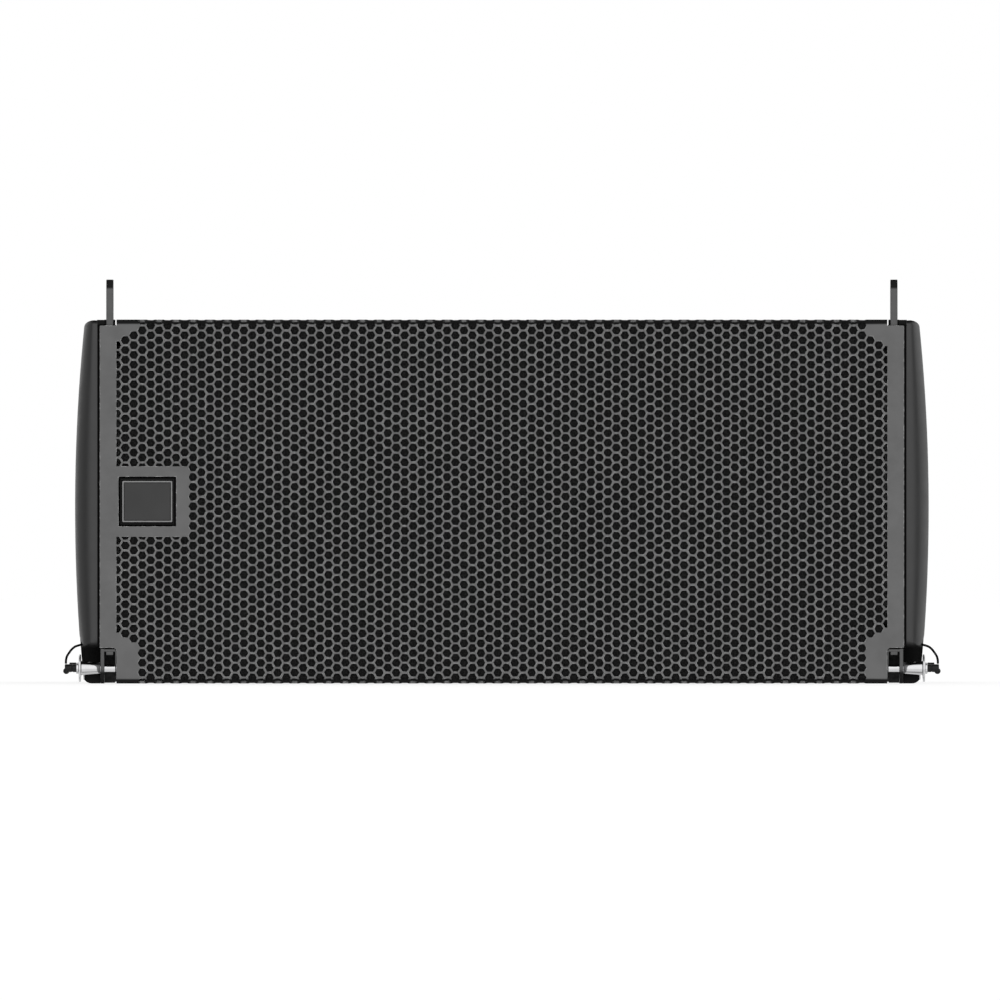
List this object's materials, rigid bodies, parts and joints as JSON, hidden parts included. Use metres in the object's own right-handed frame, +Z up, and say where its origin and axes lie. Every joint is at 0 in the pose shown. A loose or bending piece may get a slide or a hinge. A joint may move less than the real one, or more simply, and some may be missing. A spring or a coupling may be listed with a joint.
{
  "type": "line array speaker",
  "caption": "Wedge-shaped wide loudspeaker cabinet with a perforated front grille, moulded end caps, folding rigging links and quick-release pins.",
  "frame": {"origin": "middle of the base plane, under the centre of the object", "axes": "+X along the cabinet's width to the right seen from the front, +Y to the rear, +Z up; the grille faces -Y"},
  "size_m": [0.7462, 0.44, 0.3434],
  "materials": {
    "cabinet_paint": "birch plywood under black textured paint",
    "grille_steel": "perforated steel sheet, dark grey powder coat",
    "foam": "black open-cell acoustic foam",
    "badge_black": "gloss black moulding",
    "badge_grey": "plain dark grey plate",
    "horn_plastic": "black moulded waveguide",
    "zinc_steel": "zinc plated steel",
    "powder_coat": "dark grey powder coated steel",
    "connector_plastic": "black glass-filled plastic",
    "circuit_board": "green circuit board with coils",
    "cap_plastic": "dark grey satin moulding",
    "handle_plastic": "black textured plastic",
    "rubber": "black rubber",
    "chrome": "bright chrome plate",
    "button_black": "black anodised button",
    "lanyard_wire": "wire rope with black plastic jacket",
    "basket_metal": "black painted cast basket",
    "paper_cone": "black treated paper",
    "spider_cloth": "resin treated cloth"
  },
  "bodies": {
    "cabinet": {"badge_plate": "badge_grey", "badge_tray": "badge_black", "cabinet_bottom_panel": "cabinet_paint", "cabinet_left_panel": "cabinet_paint", "cabinet_rear_panel": "cabinet_paint", "cabinet_right_panel": "cabinet_paint", "cabinet_top_panel": "cabinet_paint", "compression_driver_lower": "zinc_steel", "compression_driver_upper": "zinc_steel", "crossover_board": "circuit_board", "end_cap_left": "cap_plastic", "end_cap_right": "cap_plastic", "front_baffle": "cabinet_paint", "front_link_bolt_left": "zinc_steel", "front_link_bolt_right": "zinc_steel", "front_rigging_left": "powder_coat", "front_rigging_right": "powder_coat", "grille": "grille_steel", "grille_foam": "foam", "handle_cup_left": "handle_plastic", "handle_cup_right": "handle_plastic", "hf_waveguide": "horn_plastic", "input_connector_a": "connector_plastic", "input_connector_b": "connector_plastic", "input_plate": "powder_coat", "lanyard_anchor_left": "zinc_steel", "lanyard_anchor_right": "zinc_steel", "rear_foot_left": "rubber", "rear_foot_right": "rubber", "rear_link_bolt_left": "zinc_steel", "rear_link_bolt_right": "zinc_steel", "rear_rigging_left": "powder_coat", "rear_rigging_right": "powder_coat", "side_grip_left": "rubber", "side_grip_right": "rubber", "woofer_basket_left": "basket_metal", "woofer_basket_right": "basket_metal", "woofer_magnet_left": "zinc_steel", "woofer_magnet_right": "zinc_steel", "woofer_spider_left": "spider_cloth", "woofer_spider_right": "spider_cloth", "woofer_surround_left": "rubber", "woofer_surround_right": "rubber"},
    "front_link_left": {"front_link_left": "powder_coat"},
    "front_pin_left": {"front_pin_left": "chrome", "lanyard_left": "lanyard_wire"},
    "front_pin_button_left": {"front_pin_button_left": "button_black"},
    "rear_link_left": {"rear_link_left": "powder_coat"},
    "rear_pin_left": {"rear_pin_left": "chrome"},
    "rear_pin_button_left": {"rear_pin_button_left": "button_black"},
    "woofer_cone_left": {"woofer_cone_left": "paper_cone"},
    "front_link_right": {"front_link_right": "powder_coat"},
    "front_pin_right": {"front_pin_right": "chrome", "lanyard_right": "lanyard_wire"},
    "front_pin_button_right": {"front_pin_button_right": "button_black"},
    "rear_link_right": {"rear_link_right": "powder_coat"},
    "rear_pin_right": {"rear_pin_right": "chrome"},
    "rear_pin_button_right": {"rear_pin_button_right": "button_black"},
    "woofer_cone_right": {"woofer_cone_right": "paper_cone"}
  },
  "joints": [
    {"name": "front_link_pivot_left", "type": "hinge", "parent": "cabinet", "child": "front_link_left", "pos_m": [-0.33335, -0.2, 0.283], "axis": [-1, 0, 0], "range_deg": [0, 180]},
    {"name": "front_pin_slide_left", "type": "slide", "parent": "cabinet", "child": "front_pin_left", "axis": [-1, 0, 0], "range_m": [0, 0.024]},
    {"name": "front_button_press_left", "type": "slide", "parent": "front_pin_left", "child": "front_pin_button_left", "axis": [1, 0, 0], "range_m": [0, 0.003], "stiffness_N_per_m": 400},
    {"name": "rear_link_pivot_left", "type": "hinge", "parent": "cabinet", "child": "rear_link_left", "pos_m": [-0.33335, 0.193, 0.243], "axis": [-1, 0, 0], "range_deg": [0, 90]},
    {"name": "rear_pin_slide_left", "type": "slide", "parent": "cabinet", "child": "rear_pin_left", "axis": [-1, 0, 0], "range_m": [0, 0.024]},
    {"name": "rear_button_press_left", "type": "slide", "parent": "rear_pin_left", "child": "rear_pin_button_left", "axis": [1, 0, 0], "range_m": [0, 0.003], "stiffness_N_per_m": 400},
    {"name": "woofer_cone_travel_left", "type": "slide", "parent": "cabinet", "child": "woofer_cone_left", "axis": [0, -1, 0], "range_m": [-0.006, 0.006], "stiffness_N_per_m": 3000},
    {"name": "front_link_pivot_right", "type": "hinge", "parent": "cabinet", "child": "front_link_right", "pos_m": [0.33335, -0.2, 0.283], "axis": [-1, 0, 0], "range_deg": [0, 180]},
    {"name": "front_pin_slide_right", "type": "slide", "parent": "cabinet", "child": "front_pin_right", "axis": [1, 0, 0], "range_m": [0, 0.024]},
    {"name": "front_button_press_right", "type": "slide", "parent": "front_pin_right", "child": "front_pin_button_right", "axis": [-1, 0, 0], "range_m": [0, 0.003], "stiffness_N_per_m": 400},
    {"name": "rear_link_pivot_right", "type": "hinge", "parent": "cabinet", "child": "rear_link_right", "pos_m": [0.33335, 0.193, 0.243], "axis": [-1, 0, 0], "range_deg": [0, 90]},
    {"name": "rear_pin_slide_right", "type": "slide", "parent": "cabinet", "child": "rear_pin_right", "axis": [1, 0, 0], "range_m": [0, 0.024]},
    {"name": "rear_button_press_right", "type": "slide", "parent": "rear_pin_right", "child": "rear_pin_button_right", "axis": [-1, 0, 0], "range_m": [0, 0.003], "stiffness_N_per_m": 400},
    {"name": "woofer_cone_travel_right", "type": "slide", "parent": "cabinet", "child": "woofer_cone_right", "axis": [0, -1, 0], "range_m": [-0.006, 0.006], "stiffness_N_per_m": 3000}
  ]
}
